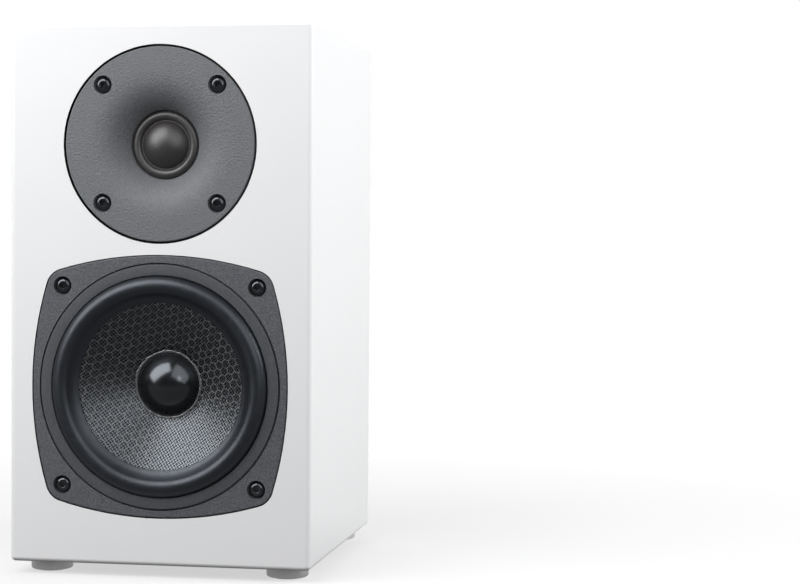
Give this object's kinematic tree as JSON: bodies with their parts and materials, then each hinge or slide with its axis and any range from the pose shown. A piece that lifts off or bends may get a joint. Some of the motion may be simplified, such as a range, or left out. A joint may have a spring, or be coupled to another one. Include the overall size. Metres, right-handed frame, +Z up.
{
  "type": "bookshelf speaker",
  "caption": "Bookshelf loudspeaker: white box cabinet with a dome tweeter in a waveguide, a woven-cone woofer in a bowed square frame, rear reflex port, terminal cup and short round feet.",
  "frame": {"origin": "centre of the footprint, on the surface the feet stand on", "axes": "+Z up, the speaker faces -Y, +X to the right of someone looking at its front"},
  "size_m": [0.164, 0.1805, 0.2936],
  "materials": {
    "white_lacquer": "satin",
    "raw_board": "matte",
    "acoustic_foam": "matte",
    "anodised_aluminium": "satin",
    "black_rubber": "matte",
    "black_screw": "gloss",
    "zinc_screw": "satin",
    "bright_brass": "polished",
    "gasket_foam": "matte",
    "textured_plastic": "matte",
    "dome_cloth": "satin",
    "former_foil": "satin",
    "copper_winding": "satin",
    "ferrite": "matte",
    "plated_steel": "satin",
    "black_moulding": "matte",
    "trim_moulding": "satin",
    "surround_rubber": "satin",
    "woven_cone": "satin",
    "cap_gloss": "gloss",
    "clear_glue": "gloss",
    "former_film": "satin",
    "spider_cloth": "matte",
    "brown_laminate": "matte",
    "red_plastic": "gloss",
    "black_plastic": "gloss",
    "circuit_board": "satin",
    "white_nylon": "satin",
    "capacitor_film": "gloss",
    "cement": "matte",
    "red_sleeve": "satin",
    "black_sleeve": "satin",
    "tinsel_braid": "satin"
  },
  "bodies": {
    "cabinet": {"front_baffle": "white_lacquer", "top_panel": "white_lacquer", "bottom_panel": "white_lacquer", "left_side_panel": "white_lacquer", "right_side_panel": "white_lacquer", "rear_panel": "white_lacquer", "shelf_brace": "raw_board", "damping_pads": "acoustic_foam", "feet": "anodised_aluminium", "foot_pads": "black_rubber", "foot_spacers": "black_rubber", "foot_screws": "zinc_screw", "tweeter_screws": "black_screw", "woofer_screws": "black_screw", "cup_screws": "black_screw", "threaded_inserts": "bright_brass", "driver_gaskets": "gasket_foam", "tweeter_faceplate": "textured_plastic", "tweeter_surround": "dome_cloth", "tweeter_top_plate": "plated_steel", "tweeter_magnet": "ferrite", "tweeter_yoke": "plated_steel", "tweeter_rear_chamber": "black_moulding", "woofer_frame": "textured_plastic", "woofer_trim_ring": "trim_moulding", "woofer_surround": "surround_rubber", "spider": "spider_cloth", "woofer_top_plate": "plated_steel", "woofer_magnet": "ferrite", "woofer_yoke": "plated_steel", "woofer_terminal_strip": "brown_laminate", "driver_tabs": "bright_brass", "tinsel_leads": "tinsel_braid", "port_tube": "black_moulding", "terminal_cup": "black_moulding", "binding_posts": "bright_brass", "post_collars": "bright_brass", "solder_tags": "bright_brass", "post_nuts": "bright_brass", "board_standoffs": "white_nylon", "crossover_board": "circuit_board", "board_screws": "zinc_screw", "inductor_bobbins": "black_moulding", "inductor_windings": "copper_winding", "capacitors": "capacitor_film", "resistor": "cement", "red_leads": "red_sleeve", "black_leads": "black_sleeve"},
    "woofer_diaphragm": {"woofer_cone": "woven_cone", "dust_cap": "cap_gloss", "cap_glue_bead": "clear_glue", "voice_coil_former": "former_film", "voice_coil": "copper_winding"},
    "tweeter_diaphragm": {"tweeter_dome": "dome_cloth", "tweeter_former": "former_foil", "tweeter_voice_coil": "copper_winding"},
    "red_clamp": {"red_clamp_washer": "bright_brass"},
    "red_knob": {"red_knob": "red_plastic"},
    "black_clamp": {"black_clamp_washer": "bright_brass"},
    "black_knob": {"black_knob": "black_plastic"}
  },
  "joints": [
    {"name": "woofer_travel", "type": "slide", "parent": "cabinet", "child": "woofer_diaphragm", "axis": [0, -1, 0], "range_m": [-0.004, 0.004], "stiffness_N_per_m": 1400, "deforming": ["woofer_surround", "spider", "tinsel_leads"]},
    {"name": "tweeter_travel", "type": "slide", "parent": "cabinet", "child": "tweeter_diaphragm", "axis": [0, -1, 0], "range_m": [-0.00035, 0.00035], "stiffness_N_per_m": 1500, "deforming": ["tweeter_surround"]},
    {"name": "red_clamp_slide", "type": "slide", "parent": "cabinet", "child": "red_clamp", "axis": [0, 1, 0], "range_m": [0, 0.005]},
    {"name": "red_knob_turn", "type": "hinge", "parent": "red_clamp", "child": "red_knob", "pos_m": [0.00953, 0.08405, 0.0866], "axis": [0, 1, 0], "range_deg": [0, 1440]},
    {"name": "black_clamp_slide", "type": "slide", "parent": "cabinet", "child": "black_clamp", "axis": [0, 1, 0], "range_m": [0, 0.005]},
    {"name": "black_knob_turn", "type": "hinge", "parent": "black_clamp", "child": "black_knob", "pos_m": [-0.00953, 0.08405, 0.0866], "axis": [0, 1, 0], "range_deg": [0, 1440]}
  ],
  "couplings": [
    {"joint": "red_knob_turn", "follows": "red_clamp_slide", "rad_per_m": 5026.5},
    {"joint": "black_knob_turn", "follows": "black_clamp_slide", "rad_per_m": 5026.5}
  ]
}
